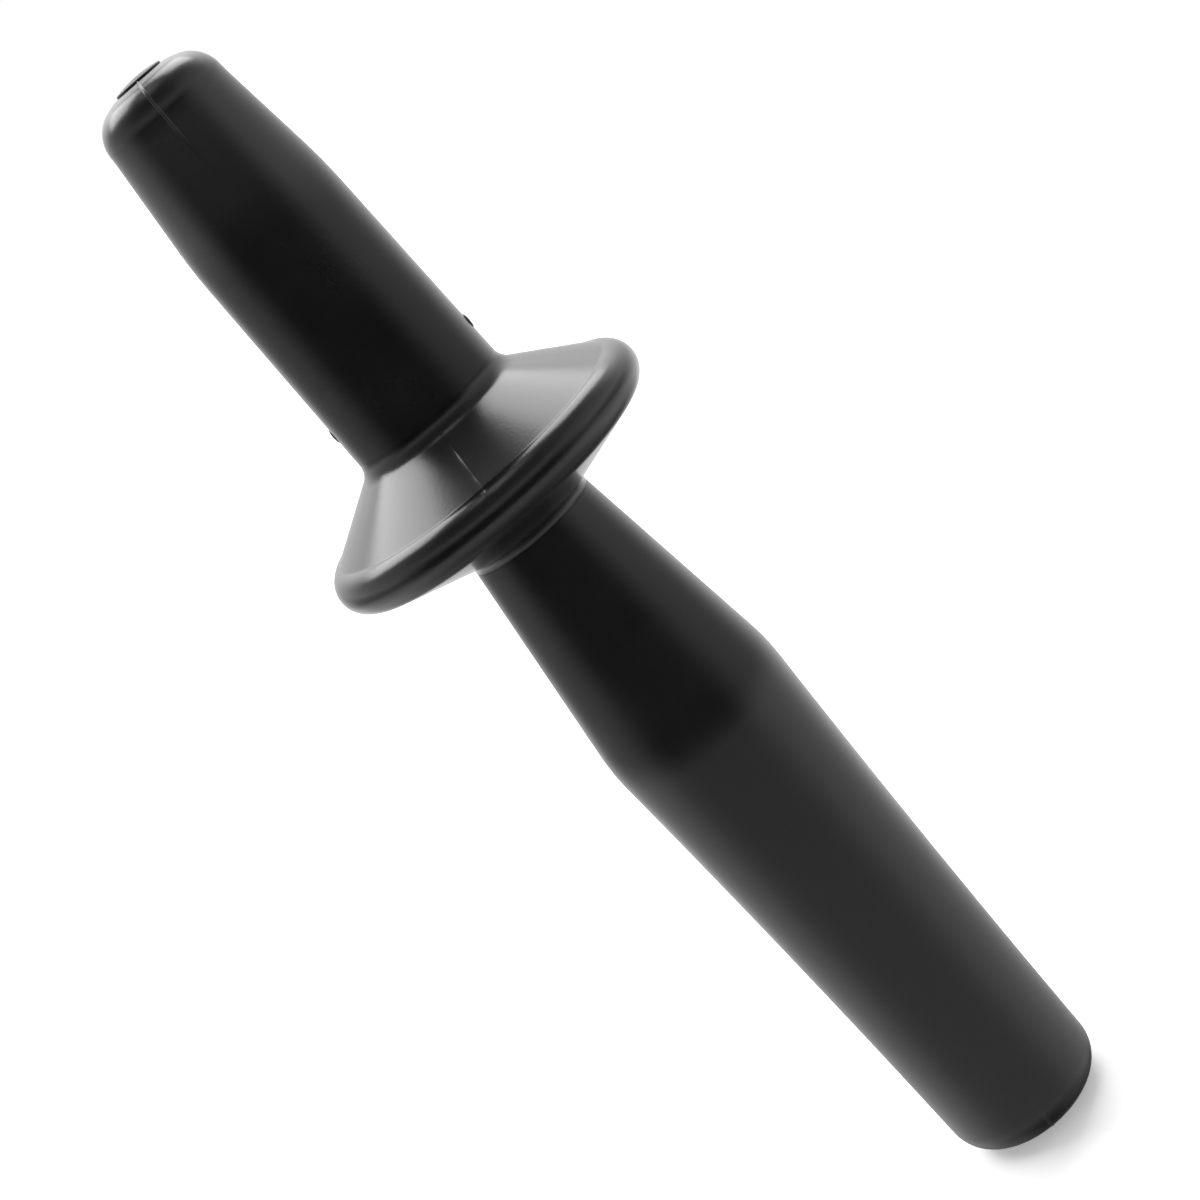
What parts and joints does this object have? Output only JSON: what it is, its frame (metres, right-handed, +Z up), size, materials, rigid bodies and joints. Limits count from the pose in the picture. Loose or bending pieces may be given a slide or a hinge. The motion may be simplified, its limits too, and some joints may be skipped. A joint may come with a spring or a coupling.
{
  "type": "blender tamper",
  "caption": "Rigid hand tamper for a jug blender: hollow swollen grip, thick round splash disc and a tapered shaft with a blunt rounded tip.",
  "frame": {"origin": "centre of the flat face on the grip's end, at the bottom of the upright tool", "axes": "+Z up the tool's axis from the grip's end to the tip, +X along the cross pin, -Y towards the front mould line"},
  "size_m": [0.0714, 0.0714, 0.2658],
  "materials": {
    "grip_plastic": "black moulded plastic, satin",
    "disc_plastic": "black moulded plastic, soft sheen",
    "shaft_plastic": "black moulded plastic, soft sheen",
    "core_plastic": "grey moulded plastic, matt, hidden inside",
    "pin_plastic": "black plastic pin, satin",
    "plug_plastic": "black plastic plug, matt"
  },
  "bodies": {
    "root": {"handle_grip": "grip_plastic", "splash_disc": "disc_plastic", "tamping_shaft": "shaft_plastic", "core_tube": "core_plastic", "cross_pin": "pin_plastic", "tip_plug": "plug_plastic"}
  },
  "joints": []
}
